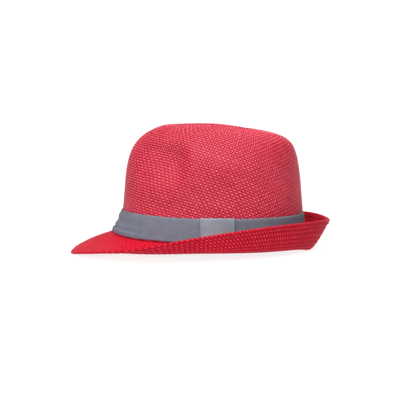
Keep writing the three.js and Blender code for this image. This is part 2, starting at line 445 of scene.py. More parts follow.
class Skin:
    """A closed mesh with a turn, once round from 0 to 1, and a run, along the skin, on each vertex.

    While it is made its vertices lie on a plain tube, where loops are easily welded, cut and joined.

    Args:
        period: The run at which the skin comes back to run 0, or 0 where poles close its ends.
    """

    # The turn that marks a pole, and how far the tube rises for each unit of run
    POLE = -1000.0
    RISE = 0.2

    # How near a rim a corner moves onto it, and how near the cut there it counts as on it, on the tube
    SNAP = 0.2
    CLOSE = 2e-5

    # How near each other corners are welded, on the tube: within a strip, and where two rims meet
    SEAM = 1e-6
    TIGHT = 1.5e-3

    # How near each other the turns of two rims count as one, and the decimals that they keep
    SAME_TURN = 2e-6
    TURN_DECIMALS = 6

    # The cuts through each crossing's faces, and the places round the hat where a rim's rows are counted
    CUTS = 2
    RIM_PLACES = 361

    def __init__(self, period: float = 0.0) -> None:
        """Starts an empty mesh with a turn and a run on each vertex."""
        self.mesh = self.blank()
        self.turn, self.run = self.layers(self.mesh)
        self.period = period

    def blank(self) -> bmesh.types.BMesh:
        """Starts a mesh.

        Returns:
            An empty mesh with the two layers.
        """
        mesh = bmesh.new()
        for name in ("turn", "run"):
            mesh.verts.layers.float.new(name)
        return mesh

    def layers(self, mesh: bmesh.types.BMesh) -> tuple[Any, Any]:
        """The turn and the run layers of a mesh."""
        return mesh.verts.layers.float["turn"], mesh.verts.layers.float["run"]

    def on_tube(self, turn: float, run: float) -> Vector:
        """A vertex's place on the tube."""
        return Vector((math.cos(TURN * turn), math.sin(TURN * turn), self.RISE * run))

    def take(self, part: bmesh.types.BMesh) -> None:
        """Adds a part and frees it.

        Args:
            part: A mesh with the two layers.
        """
        carrier = bpy.data.meshes.new("part")
        part.to_mesh(carrier)
        part.free()
        self.mesh.from_mesh(carrier)
        bpy.data.meshes.remove(carrier)

    def strip(self, columns: int, runs: Sequence[float]) -> None:
        """Adds a strip of faces right round.

        Args:
            columns: How many faces go round.
            runs: The run of each loop of vertices, in order.
        """
        part = self.blank()
        turn_layer, run_layer = self.layers(part)
        last = len(runs) - 1
        bmesh.ops.create_grid(part, x_segments=columns, y_segments=last, size=0.5)
        for vertex in part.verts:
            turn = round((vertex.co.x + 0.5) * columns) % columns / columns
            run = runs[round((vertex.co.y + 0.5) * last)]
            vertex[turn_layer], vertex[run_layer] = turn, run
            vertex.co = self.on_tube(turn, run)
        bmesh.ops.remove_doubles(part, verts=part.verts, dist=self.SEAM)
        self.take(part)

    def weave(self, lattice: Lattice, relief: Relief, low: float, high: float,
              run_at: Callable[[Array], Array], side: float = 1.0) -> None:
        """Adds a strip of faces that follow the straws, three by three at each crossing.

        Args:
            lattice: The straws.
            relief: Their relief.
            low: The reach of the strip's first rim.
            high: The reach of its last rim.
            run_at: Gives the run at each reach.
            side: 1 for the upper or outer face, -1 for the other one.
        """
        slip = (abs(lattice.rib_swing) + lattice.rib_lean * high) / lattice.ribs
        around = np.linspace(-slip, 1 + slip, self.RIM_PLACES)
        first = math.floor(lattice.cells(around, low)[:, 0].min()) - 1
        last = math.ceil(lattice.cells(around, high)[:, 0].max()) + 1
        part = self.blank()
        turn_layer, run_layer = self.layers(part)
        bmesh.ops.create_grid(part, x_segments=lattice.ribs, y_segments=last - first, size=0.5)
        bmesh.ops.translate(part, verts=part.verts, vec=(0.5, 0.5, 0))
        bmesh.ops.scale(part, verts=part.verts, vec=(lattice.ribs, last - first, 1))
        flat = np.rint([v.co[:2] for v in part.verts])
        reach = lattice.crossing(flat[:, 1] + first, flat[:, 0])[1]
        spare = 2 * lattice.row_pitch
        beyond = [v for v, r in zip(part.verts, reach) if not low - spare < r < high + spare]
        bmesh.ops.delete(part, geom=beyond, context="VERTS")
        bmesh.ops.subdivide_edges(part, edges=part.edges, cuts=self.CUTS, use_grid_fill=True)
        flat = np.rint(np.array([v.co[:2] for v in part.verts]) * (self.CUTS + 1)) / (self.CUTS + 1)
        turn, reach = lattice.crossing(*relief.gathered(flat[:, 1] + first, flat[:, 0], side))
        for rim in (low, high):
            reach = np.where(np.abs(reach - rim) < self.SNAP, rim, reach)
        for vertex, t, r in zip(part.verts, turn, reach):
            vertex.co = self.on_tube(t, r)
        bmesh.ops.remove_doubles(part, verts=part.verts, dist=SAME)
        for rim, way in ((low, -1), (high, 1)):
            bmesh.ops.bisect_plane(part, geom=[*part.verts, *part.edges, *part.faces],
                                   dist=self.CLOSE, plane_co=(0, 0, rim * self.RISE),
                                   plane_no=(0, 0, way), clear_outer=True)
        place = np.array([v.co for v in part.verts])
        turn = np.arctan2(place[:, 1], place[:, 0]) / TURN % 1
        reach = place[:, 2] / self.RISE
        for rim in (low, high):
            reach = np.where(np.abs(reach - rim) < 2 * self.CLOSE / self.RISE, rim, reach)
        for vertex, t, run in zip(part.verts, turn, run_at(reach)):
            vertex[turn_layer], vertex[run_layer] = t, run
            vertex.co = self.on_tube(t, run)
        self.take(part)

    def rim(self, run: float) -> list[bmesh.types.BMEdge]:
        """The open edges of the loop with a run."""
        return [e for e in self.mesh.edges
                if e.is_boundary and all(abs(v[self.run] - run) < SAME for v in e.verts)]

    def join(self, low: float, high: float) -> None:
        """Bridges the open loops with two runs, which have equal numbers of vertices."""
        bmesh.ops.bridge_loops(self.mesh, edges=self.rim(low) + self.rim(high))

    def weld(self, run: float) -> None:
        """Welds two rims, after each has been given the other's corners.

        Args:
            run: Where both of them lie.
        """
        edges = self.rim(run)
        corners = {vertex for edge in edges for vertex in edge.verts}
        turns = np.unique(np.round([vertex[self.turn] % 1 for vertex in corners], self.TURN_DECIMALS))
        turns = np.concatenate([turns - 1, turns, turns + 1])
        for edge in edges:
            first, last = sorted(edge.verts, key=lambda v: v[self.turn] % 1)
            start, end = first[self.turn] % 1, last[self.turn] % 1
            if end - start > 0.5:
                first, last, start, end = last, first, end, start + 1
            inside = turns[(turns > start + self.SAME_TURN) & (turns < end - self.SAME_TURN)]
            for turn in inside:
                _, first = bmesh.utils.edge_split(edge, first, (turn - start) / (end - start))
                first[self.turn], first[self.run] = turn % 1, run
                first.co = self.on_tube(turn, run)
                edge = next(e for e in first.link_edges if last in e.verts)
                start = turn
        # In the order of the edges, because the order of a set changes from run to run
        corners = dict.fromkeys(vertex for edge in self.rim(run) for vertex in edge.verts)
        bmesh.ops.remove_doubles(self.mesh, verts=list(corners), dist=self.TIGHT)

    def close(self, run: float, tip: float) -> None:
        """Closes an open loop by a fan round one middle vertex.

        Args:
            run: The loop's run.
            tip: The middle vertex's run.
        """
        face = bmesh.ops.contextual_create(self.mesh, geom=self.rim(run))["faces"]
        centre = bmesh.ops.poke(self.mesh, faces=face)["verts"][0]
        centre[self.turn] = self.POLE
        centre[self.run] = tip

    def finish(self, name: str, place: Callable[[Array, Array], Array],
               maps: dict[str, Callable[[Array, Array, Array], Array]]) -> bpy.types.Object:
        """Places the vertices, writes the UV maps and makes the object.

        Args:
            name: The piece's name.
            place: Gives the vertices' places in metres for their turns and runs.
            maps: For each UV map, what gives its coordinates for the corners' turns and runs and
                for the middle of each corner's face.

        Returns:
            The finished object.
        """
        slits = [edge for edge in self.mesh.edges if edge.is_boundary]
        bmesh.ops.holes_fill(self.mesh, edges=slits, sides=4)
        made = bpy.data.meshes.new(name)
        self.mesh.to_mesh(made)
        self.mesh.free()
        count = len(made.vertices)
        turn, run = np.zeros(count, np.float32), np.zeros(count, np.float32)
        made.attributes["turn"].data.foreach_get("value", turn)
        made.attributes["run"].data.foreach_get("value", run)
        made.vertices.foreach_set("co", place(turn, run).astype(np.float32).ravel())
        self.write_maps(made, turn, run, maps)
        for layer in ("turn", "run"):
            made.attributes.remove(made.attributes[layer])
        shell = bmesh.new()
        shell.from_mesh(made)
        bmesh.ops.recalc_face_normals(shell, faces=shell.faces)
        if shell.calc_volume(signed=True) < 0:
            bmesh.ops.reverse_faces(shell, faces=shell.faces)
        for face in shell.faces:
            face.smooth = True
        shell.to_mesh(made)
        shell.free()
        return put_in_scene(name, made)

    def write_maps(self, made: bpy.types.Mesh, turn: Array, run: Array,
                   maps: dict[str, Callable[[Array, Array, Array], Array]]) -> None:
        """Writes the UV maps from the turns and runs, kept whole across the seams.

        Args:
            made: The mesh that gets them.
            turn: The turn of each vertex.
            run: The run of each vertex.
            maps: The maps, as in finish.
        """
        corners = np.zeros(len(made.loops), np.int32)
        made.loops.foreach_get("vertex_index", corners)
        starts, totals = (np.zeros(len(made.polygons), np.int32) for _ in range(2))
        made.polygons.foreach_get("loop_start", starts)
        made.polygons.foreach_get("loop_total", totals)
        spin, row = turn[corners].astype(float), run[corners].astype(float)
        pole = spin == self.POLE
        for values, whole in ((spin, 1.0), (row, self.period)):
            if whole:
                low = np.minimum.reduceat(np.where(pole, np.inf, values), starts)
                high = np.maximum.reduceat(np.where(pole, -np.inf, values), starts)
                split = np.repeat(high - low > whole / 2, totals)
                values += np.where(split & (values < whole / 2) & ~pole, whole, 0.0)
        others = np.add.reduceat(np.where(pole, 0.0, spin), starts) / np.maximum(
            np.add.reduceat((~pole).astype(float), starts), 1)
        spin = np.where(pole, np.repeat(others, totals), spin)
        middle = np.stack([np.repeat(np.add.reduceat(values, starts) / totals, totals)
                           for values in (spin, row)], axis=-1)
        for name, layout in maps.items():
            layer = made.uv_layers.new(name=name)
            layer.data.foreach_set("uv", layout(spin, row, middle).astype(np.float32).ravel())


class Value:
    """A number that a node tree works out. Arithmetic on it adds Math nodes."""

    def __init__(self, tree: "NodeTree", socket: bpy.types.NodeSocket) -> None:
        """Wraps an output socket of a tree."""
        self.tree = tree
        self.socket = socket

    def __add__(self, other: "Number") -> "Value":
        """The sum."""
        return self.tree.math("ADD", self, other)

    def __sub__(self, other: "Number") -> "Value":
        """The difference."""
        return self.tree.math("SUBTRACT", self, other)

    def __rsub__(self, other: "Number") -> "Value":
        """The difference from a number."""
        return self.tree.math("SUBTRACT", other, self)

    def __mul__(self, other: "Number") -> "Value":
        """The product."""
        return self.tree.math("MULTIPLY", self, other)

    def __truediv__(self, other: "Number") -> "Value":
        """The quotient."""
        return self.tree.math("DIVIDE", self, other)

    def __pow__(self, other: "Number") -> "Value":
        """The power."""
        return self.tree.math("POWER", self, other)

    __radd__ = __add__
    __rmul__ = __mul__

    def floor(self) -> "Value":
        """The whole part."""
        return self.tree.math("FLOOR", self)

    def fract(self) -> "Value":
        """What is over the whole part."""
        return self.tree.math("FRACT", self)

    def sin(self) -> "Value":
        """The sine."""
        return self.tree.math("SINE", self)

    def most(self, other: "Number") -> "Value":
        """The larger of the two."""
        return self.tree.math("MAXIMUM", self, other)

    def over(self, other: "Number") -> "Value":
        """1 where it is the larger of the two, else 0."""
        return self.tree.math("GREATER_THAN", self, other)

    def toward(self, other: "Value", share: "Number") -> "Value":
        """This value moved a share of the way to another."""
        return self + (other - self) * share

    def ramp(self, low: float, high: float) -> "Value":
        """0 up to low and 1 from high, with a soft slope between."""
        return self.tree.add("ShaderNodeMapRange", {"interpolation_type": "SMOOTHSTEP"},
                             {"Value": self, "From Min": low, "From Max": high})


Number = Union[Value, float]
Colour = tuple[float, float, float]


def linear(red: int, green: int, blue: int) -> Colour:
    """The linear colour of a screen colour with parts from 0 to 255."""
    parts = (part / 255 for part in (red, green, blue))
    return tuple(p / 12.92 if p <= 0.04045 else ((p + 0.055) / 1.055) ** 2.4 for p in parts)


class NodeTree:
    """A material's nodes, with one method that adds any of them."""

    def __init__(self, name: str) -> None:
        """Starts a material with one Principled shader.

        Args:
            name: The material's name.
        """
        self.material = bpy.data.materials.new(name)
        self.material.use_nodes = True
        self.nodes = self.material.node_tree.nodes
        self.links = self.material.node_tree.links
        self.shader = self.nodes["Principled BSDF"]

    def add(self, kind: str, settings: Optional[dict[str, Any]] = None,
            inputs: Optional[dict[Union[str, int], Any]] = None, output: Union[str, int] = 0) -> Value:
        """Adds a node.

        Args:
            kind: The node's type.
            settings: Its properties, set before its sockets.
            inputs: A value or a link for each of its sockets, by name or place.
            output: Which of its outputs is wanted.

        Returns:
            The output, wrapped.
        """
        node = self.nodes.new(kind)
        for name, setting in (settings or {}).items():
            setattr(node, name, setting)
        for key, value in (inputs or {}).items():
            self.feed(node.inputs[key], value)
        return Value(self, node.outputs[output])

    def feed(self, socket: bpy.types.NodeSocket, value: Any) -> None:
        """Links or sets a socket.

        Args:
            socket: The input socket.
            value: What it is linked to, or its own value.
        """
        if isinstance(value, Value):
            self.links.new(value.socket, socket)
        elif isinstance(value, tuple) and len(value) == 3 and socket.type == "RGBA":
            socket.default_value = (*value, 1.0)
        else:
            socket.default_value = value

    def math(self, operation: str, *numbers: Number) -> Value:
        """Adds a Math node."""
        return self.add("ShaderNodeMath", {"operation": operation}, dict(enumerate(numbers)))

    def mix(self, share: Number, first: Any, second: Any) -> Value:
        """A colour that goes from the first to the second."""
        return self.add("ShaderNodeMix", {"data_type": "RGBA"}, {0: share, 6: first, 7: second}, 2)

    def map_parts(self, name: str) -> tuple[Value, Value]:
        """Reads one of the piece's UV maps.

        Args:
            name: The map's name.

        Returns:
            Its two coordinates.
        """
        place = self.add("ShaderNodeUVMap", {"uv_map": name})
        split = self.add("ShaderNodeSeparateXYZ", None, {0: place})
        return split, Value(self, split.socket.node.outputs[1])

    def noise(self, scale: float, detail: float = 2.0, roughness: float = 0.5) -> Value:
        """Soft noise from 0 to 1 on the piece's own coordinates, with so many lumps a metre."""
        place = self.add("ShaderNodeTexCoord", None, None, "Object")
        return self.add("ShaderNodeTexNoise", None, {
            "Vector": place, "Scale": scale, "Detail": detail, "Roughness": roughness})

    def hashed(self, number: Value) -> Value:
        """An even random number from 0 to 1 for each whole number."""
        return self.add("ShaderNodeTexWhiteNoise", {"noise_dimensions": "1D"}, {"W": number}, "Value")

    def dress(self, **sockets: Any) -> bpy.types.Material:
        """Feeds the shader's sockets.

        Args:
            sockets: What each socket gets, by its name with underscores for spaces.

        Returns:
            The material.
        """
        for name, value in sockets.items():
            self.feed(self.shader.inputs[name.replace("_", " ")], value)
        return self.material


class MapName(Enum):
    """The UV maps that a piece of cloth brings."""

    WEAVE = "weave"
    BAKE = "OFBake"


@dataclass(frozen=True)
class StrawFinish:
    """Twisted paper straw in a plain weave: its body, crests, gaps and the ribs under the rows, with a
    painted highlight on the crests, painted shade in the gaps and painted shade on the ribs on top.

    calm is how far the colours, with their painted highlight and shade, are evened out on the upper face,
    whose rows are counted from 0 while the lower face's are counted from LOWER_ROWS. dim is the share of
    the painted highlight on the crests that the ribs lack. A range says where a tone sets in and where it
    is full: an arc goes from 0 at a straw's sides to 1 at its middle, and a wave from -1 where it dives to
    1 where it is on top.
    """

    LOWER_ROWS = 1001

    # Added to a rib's number and multiplied with a row's, so that straws and crossings differ at random
    RIB_NUMBERS, ROW_STEP = 500.0, 37.0

    # Where the painted shade of the gaps gives way to the straw's own colour
    BODY_ARC, BODY_WAVE = (0.35, 0.95), (-0.7, 0.6)
    # Where the painted highlight sets in on the crests, its strength, and its even share on the calm face
    CREST_ARC, CREST_WAVE = (0.6, 1.0), (-0.3, 0.8)
    CREST_LEAST, CREST_MORE, CREST_CALM = 0.6, 0.5, 0.12
    # The share of the darker under colour that gives the ribs on top painted shade
    RIB_SHARE = 0.8
    PATCH_SCALE, PATCH_DETAIL, PATCH_RANGE, PATCH_SHARE = 26.0, 3.0, (0.42, 0.7), 0.2
    SHADE_SHARE, SHADE_RISE = 0.15, 0.08
    GAP_ROUGHNESS = 0.25

    name: str
    body: Colour
    # The under colour gives the ribs on top painted shade, and also darkens random patches and straws
    under: Colour
    # The gap colour is painted shade, in the gaps and where a straw dives under
    gap_shade: Colour
    # The lit colour is a painted highlight on the crests
    lit: Colour
    calm: float = 0.0
    dim: float = 0.55
    shape: Relief = Relief()
    relief: float = 0.0005
    roughness: float = 0.36
    gloss: float = 0.14

    def material(self) -> bpy.types.Material:
        """Makes the material: domed straws that dive under each other, each a little different, with a
        painted highlight on their crests and painted shade in their gaps and on the ribs on top.

        Returns:
            The material.
        """
        tree = NodeTree(self.name)
        row, rib = tree.map_parts(MapName.WEAVE.value)
        whole_row, whole_rib = row.floor(), rib.floor()
        row_wave = (1.0 - 4.0 * (whole_row * 0.5).fract()) * (rib * math.pi).sin()
        rib_wave = (4.0 * (whole_rib * 0.5).fract() - 1.0) * (row * math.pi).sin()
        across_row, across_rib = row.fract() * 2.0 - 1.0, rib.fract() * 2.0 - 1.0
        row_arc, rib_arc = ((1.0 - across * across).most(0.0) ** 0.5 for across in (across_row, across_rib))
        row_top = row_wave * self.shape.wave + row_arc * self.shape.drop
        rib_top = rib_wave * self.shape.wave + rib_arc * self.shape.drop - self.shape.lead
        rib_over = rib_top.over(row_top)
        arc, wave = row_arc.toward(rib_arc, rib_over), row_wave.toward(rib_wave, rib_over)
        strand = whole_row.toward(whole_rib + self.RIB_NUMBERS, rib_over)
        crossing = whole_row * self.ROW_STEP + whole_rib
        shade = tree.hashed(strand) * 0.5 + tree.hashed(crossing) * 0.5
        patch = tree.noise(self.PATCH_SCALE, self.PATCH_DETAIL)
        bold = 1.0 - (1.0 - row.over(self.LOWER_ROWS / 2)) * self.calm
        # Painted shade: the gap colour is full where this is 0, at the straws' sides and where they dive
        depth = 1.0 - (1.0 - arc.ramp(*self.BODY_ARC) * wave.ramp(*self.BODY_WAVE)) * bold
        # Painted shade: the ribs on top take a share of the darker under colour
        straw = tree.mix(rib_over * bold * self.RIB_SHARE, self.body, self.under)
        ground = tree.mix(depth, self.gap_shade, straw)
        # Painted highlight: the lit colour on the crests, less on the ribs, evened out on the calm face
        crest_highlight = arc.ramp(*self.CREST_ARC) * wave.ramp(*self.CREST_WAVE)
        crest_highlight = crest_highlight * (shade * self.CREST_MORE + self.CREST_LEAST)
        crest_highlight = crest_highlight * (1.0 - rib_over * self.dim)
        crest_highlight = crest_highlight * bold + (1.0 - bold) * self.CREST_CALM
        colour = tree.mix(crest_highlight, ground, self.lit)
        # Random darker patches and straws, in the under colour
        dull = patch.ramp(*self.PATCH_RANGE) * self.PATCH_SHARE + (1.0 - shade) * self.SHADE_SHARE
        colour = tree.mix(dull, colour, self.under)
        height = row_top.most(rib_top) + shade * self.SHADE_RISE
        normal = tree.add("ShaderNodeBump", None, {
            "Strength": 1.0, "Distance": self.relief, "Height": height})
        roughness = self.roughness + self.GAP_ROUGHNESS * (1.0 - depth)
        return tree.dress(Base_Color=colour, Roughness=roughness, Specular_IOR_Level=self.gloss,
                          Normal=normal)


@dataclass(frozen=True)
class RibbonFinish:
    """A matt ribbon in a fine plain weave. The weave map is in millimetres."""

    # The scale, detail and roughness of two noises: wide clouds and fine flecks
    CLOUD, FLECK = (55.0, 4.0, 0.6), (1300.0, 2.0, 0.7)

    # Where their pale parts set in and where they are full
    CLOUD_RANGE, FLECK_RANGE = (0.3, 0.7), (0.4, 0.75)

    STREAK_WIDTH = 0.9
    THREAD_SHARE, STREAK_SHARE, CLOUD_SHARE = 0.18, 0.12, 0.35
    FLECK_RISE, CLOUD_ROUGHNESS, STRENGTH = 0.8, 0.06, 0.8

    name: str
    body: Colour
    pale: Colour
    speckle: float
    pitch: float = 0.55
    relief: float = 0.00012
    roughness: float = 0.82

    def material(self) -> bpy.types.Material:
        """Makes the material: fine threads with soft streaks along them and a little fluff.

        Returns:
            The material.
        """
        tree = NodeTree(self.name)
        along, across = tree.map_parts(MapName.WEAVE.value)
        warp = (along * (TURN / self.pitch)).sin()
        weft = (across * (TURN / self.pitch)).sin()
        thread = warp * weft * 0.5 + 0.5
        streak = tree.hashed((across / self.STREAK_WIDTH).floor())
        cloud = tree.noise(*self.CLOUD)
        fleck = tree.noise(*self.FLECK)
        share = (thread * self.THREAD_SHARE + streak * self.STREAK_SHARE
                 + cloud.ramp(*self.CLOUD_RANGE) * self.CLOUD_SHARE
                 + fleck.ramp(*self.FLECK_RANGE) * self.speckle)
        colour = tree.mix(share, self.body, self.pale)
        height = thread + fleck * self.FLECK_RISE
        normal = tree.add("ShaderNodeBump", None, {
            "Strength": self.STRENGTH, "Distance": self.relief, "Height": height})
        roughness = self.roughness + self.CLOUD_ROUGHNESS * cloud
        return tree.dress(Base_Color=colour, Roughness=roughness, Normal=normal)


@dataclass(frozen=True)
class ThreadFinish:
    """Sewing thread."""

    PLY_SCALE, PLY_DETAIL = 2400.0, 1.0
    # The share of the colour left in the fibre's hollows, a painted shade
    DARK_SHARE = 0.7
    STRENGTH = 0.5
    PLY_ROUGHNESS = 0.1

    name: str
    body: Colour
    relief: float = 0.0001
    roughness: float = 0.6

    def material(self) -> bpy.types.Material:
        """Makes the material: a fine uneven fibre, with painted shade in its hollows.

        Returns:
            The material.
        """
        tree = NodeTree(self.name)
        ply = tree.noise(self.PLY_SCALE, self.PLY_DETAIL)
        # Painted shade: darker where the bump is low
        colour = tree.mix(ply, tuple(part * self.DARK_SHARE for part in self.body), self.body)
        normal = tree.add("ShaderNodeBump", None, {
            "Strength": self.STRENGTH, "Distance": self.relief, "Height": ply})
        roughness = self.roughness + self.PLY_ROUGHNESS * ply
        return tree.dress(Base_Color=colour, Roughness=roughness, Normal=normal)


@dataclass(frozen=True)
class Island:
    """A rectangle of the bake map."""

    left: float
    right: float
    low: float
    high: float

    def at(self, across: Array, up: Array) -> Array:
        """Map coordinates for shares of the rectangle's width and height."""
        return np.stack([self.left + (self.right - self.left) * across,
                         self.low + (self.high - self.low) * up], axis=-1)


LOWER_HALF = Island(0.01, 0.99, 0.01, 0.49)
UPPER_HALF = Island(0.01, 0.99, 0.51, 0.99)


def in_halves(turn: Array, up: Array, middle: Array, left_half: Island = LOWER_HALF,
              right_half: Island = UPPER_HALF) -> Array:
    """Lays the left and the right half of a loop on two rectangles.

    Args:
        turn: The turn of each corner.
        up: How far up its rectangle each corner lies, from 0 to 1.
        middle: The turn of the middle of each corner's face.
        left_half: The rectangle for the hat's left half.
        right_half: The rectangle for its right half.

    Returns:
        The corners' map coordinates.
    """
    on_left = (middle % 1.0) < 0.5
    start = np.where(on_left, np.floor(middle), np.floor(middle) + 0.5)
    across = (turn - start) * 2.0
    return np.where(on_left[:, None], left_half.at(across, up), right_half.at(across, up))


def settle(points: Array) -> Array:
    """Brings points into the model's frame, and up to the table where they would lie under it.

    Args:
        points: Millimetres from the crown's axis and the table.

    Returns:
        Metres in the model's frame.
    """
    moved = points + np.array([0.0, AXIS_SHIFT, 0.0])
    moved[:, 2] = np.maximum(moved[:, 2], 0.0)
    return moved * MM


class Piece:
    """One visible piece of the hat, on the node that it stands for."""

    NODE = ""
    SLOT = ""

    def hand_over(self, made: bpy.types.Object, finish: bpy.types.Material) -> bpy.types.Object:
        """Dresses a made object and ties it to the model's frame.

        Args:
            made: The finished object.
            finish: Its material.

        Returns:
            The same object.
        """
        made.data.materials.append(finish)
        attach(made, "root")
        if self.NODE:
            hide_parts(self.NODE)
        LOG.info("%s: %d faces", made.name, len(made.data.polygons))
        return made


@dataclass
class Crown(Piece):
    """The woven crown: its outer face, the cut foot and the inner face.

    Its run is the station on the outer face, and INSIDE less the station on the inner face.
    """

    form: CrownForm
    finish: StrawFinish
    relief: Relief = Relief()
    plain_columns: int = 140
    dent_columns: int = 200
    foot_loops: int = 8
    dent_loops: int = 10
    inner_loops: int = 36
    NODE = "crown"
    SLOT = "crown"
    INSIDE = -1.0

    # The stations between which the straws are real relief, and the pitch of the drawn ones in the dent
    WOVEN_FROM, WOVEN_TO = 1.9, 12.4
    PLAIN_PITCH = 2.74

    # How far from the pole the last loop lies, places are still worked out, a place counts as the pole,
    # and the weave map is still worked out
    POLE_FAN, POLE_EDGE, POLE_REACH, POLE_MAP = 0.12, 0.02, 0.01, 0.001

    # The share of the bake map's height that the cut foot takes up
    CUT_SHARE = 0.01

    # The station from which each zone of straws goes up, and its straws
    ZONES = tuple(
        (first, Lattice(rows, ribs, row_pitch=2.82, rib_lean=0.155, swing=swing, swing_from=6))
        for first, rows, ribs, swing in (
            (0.0, 74, 186, 8.8), (8.4, 56, 140, 6.6), (9.8, 42, 104, 5.0), (11.2, 30, 78, 3.7)))
    OUTER_LEFT = Island(0.01, 0.99, 0.01, 0.385)
    OUTER_RIGHT = Island(0.01, 0.99, 0.405, 0.78)
    INNER = Island(0.01, 0.99, 0.80, 0.99)

    def build(self) -> bpy.types.Object:
        """Makes the crown.

        Returns:
            The finished piece.
        """
        skin = Skin()
        tip = self.form.pole
        last = tip - self.POLE_FAN
        foot = self.form.even_stations(0.0, self.WOVEN_FROM, self.foot_loops)
        inner = [self.INSIDE - s for s in self.form.even_stations(0.0, last, self.inner_loops)]
        skin.strip(self.plain_columns, inner)
        skin.strip(self.plain_columns, foot)
        skin.join(inner[0], foot[0])
        starts = [self.WOVEN_FROM, *(first for first, _ in self.ZONES[1:])]
        for first, end, (_, lattice) in zip(starts, [*starts[1:], self.WOVEN_TO], self.ZONES):
            skin.weave(lattice, self.relief, self.form.reach(first), self.form.reach(end),
                       self.form.station)
            skin.weld(first)
        skin.strip(self.dent_columns, self.form.even_stations(self.WOVEN_TO, last, self.dent_loops))
        skin.weld(self.WOVEN_TO)
        skin.close(last, tip)
        skin.close(self.INSIDE - last, self.INSIDE - tip)
        made = skin.finish("crown_straw", self.place, {
            MapName.WEAVE.value: self.weave, MapName.BAKE.value: self.bake})
        return self.hand_over(made, self.finish.material())

    def place(self, turn: Array, run: Array) -> Array:
        """Places the vertices.

        Args:
            turn: Their turns.
            run: Their runs.

        Returns:
            Metres in the model's frame.
        """
        inside = run < self.INSIDE / 2
        station = self.station(run).astype(float)
        angle = TURN * turn.astype(float)
        near_pole = np.minimum(station, self.form.pole - self.POLE_EDGE)
        woven = ~inside & (station > self.WOVEN_FROM - NEAR) & (station < self.WOVEN_TO + NEAR)
        rise = np.where(woven, self.relief.height(self.cells(turn, station, station)), 0.0)
        points = self.form.off(angle, near_pole, np.where(inside, -CROWN_WALL, rise))
        at_pole = station > self.form.pole - self.POLE_REACH
        points[at_pole] = np.array(self.form.DENT_CENTRE)
        points[at_pole & inside, 2] -= CROWN_WALL
        foot = inside & (station < SAME)
        points[foot, 2] = self.form.points(angle[foot], station[foot])[:, 2]
        return settle(points)

    def station(self, run: Array) -> Array:
        """The station at each run."""
        return np.where(run < self.INSIDE / 2, self.INSIDE - run, run)

    def cells(self, turn: Array, station: Array, zone_at: Array) -> Array:
        """Which straws cross at each place.

        Args:
            turn: The places' turns.
            station: Their stations.
            zone_at: The stations whose zone's straws are counted.

        Returns:
            The numbers of a row and a rib for each place.
        """
        reach = self.form.reach(station)
        cells = self.ZONES[0][1].cells(turn, reach)
        for first, lattice in self.ZONES[1:]:
            cells = np.where((zone_at > first + SAME)[:, None], lattice.cells(turn, reach), cells)
        return cells

    def weave(self, turn: Array, run: Array, middle: Array) -> Array:
        """The weave map, which counts the straws. Each zone towards the top has fewer of them.

        Args:
            turn: The turn of each corner.
            run: The run of each corner.
            middle: The turn and the run of the middle of each corner's face.

        Returns:
            The numbers of a row and a rib for each corner.
        """
        station, zone_at = self.station(run), self.station(middle[:, 1])
        flat = self.form.points(TURN * turn, np.minimum(station, self.form.pole - self.POLE_MAP))
        plain = flat[:, :2] / self.PLAIN_PITCH
        return np.where((zone_at > self.WOVEN_TO)[:, None], plain, self.cells(turn, station, zone_at))

    def bake(self, turn: Array, run: Array, middle: Array) -> Array:
        """The bake map: the outer face in two halves, and the inner face.

        Args:
            turn: The turn of each corner.
            run: The run of each corner.
            middle: The turn and the run of the middle of each corner's face.

        Returns:
            The corners' map coordinates.
        """
        inside = middle[:, 1] <= self.INSIDE
        cut_face = ~inside & (run < self.INSIDE / 2)
        reach = self.form.reach(self.station(run))
        share = self.CUT_SHARE + (1 - self.CUT_SHARE) * reach / self.form.reaches[-1]
        share = np.where(cut_face, 0.0, share)
        outer = in_halves(turn, share, middle[:, 0], self.OUTER_LEFT, self.OUTER_RIGHT)
        inner = self.INNER.at(turn / (1 + 1 / self.plain_columns), share)
        return np.where(inside[:, None], inner, outer)


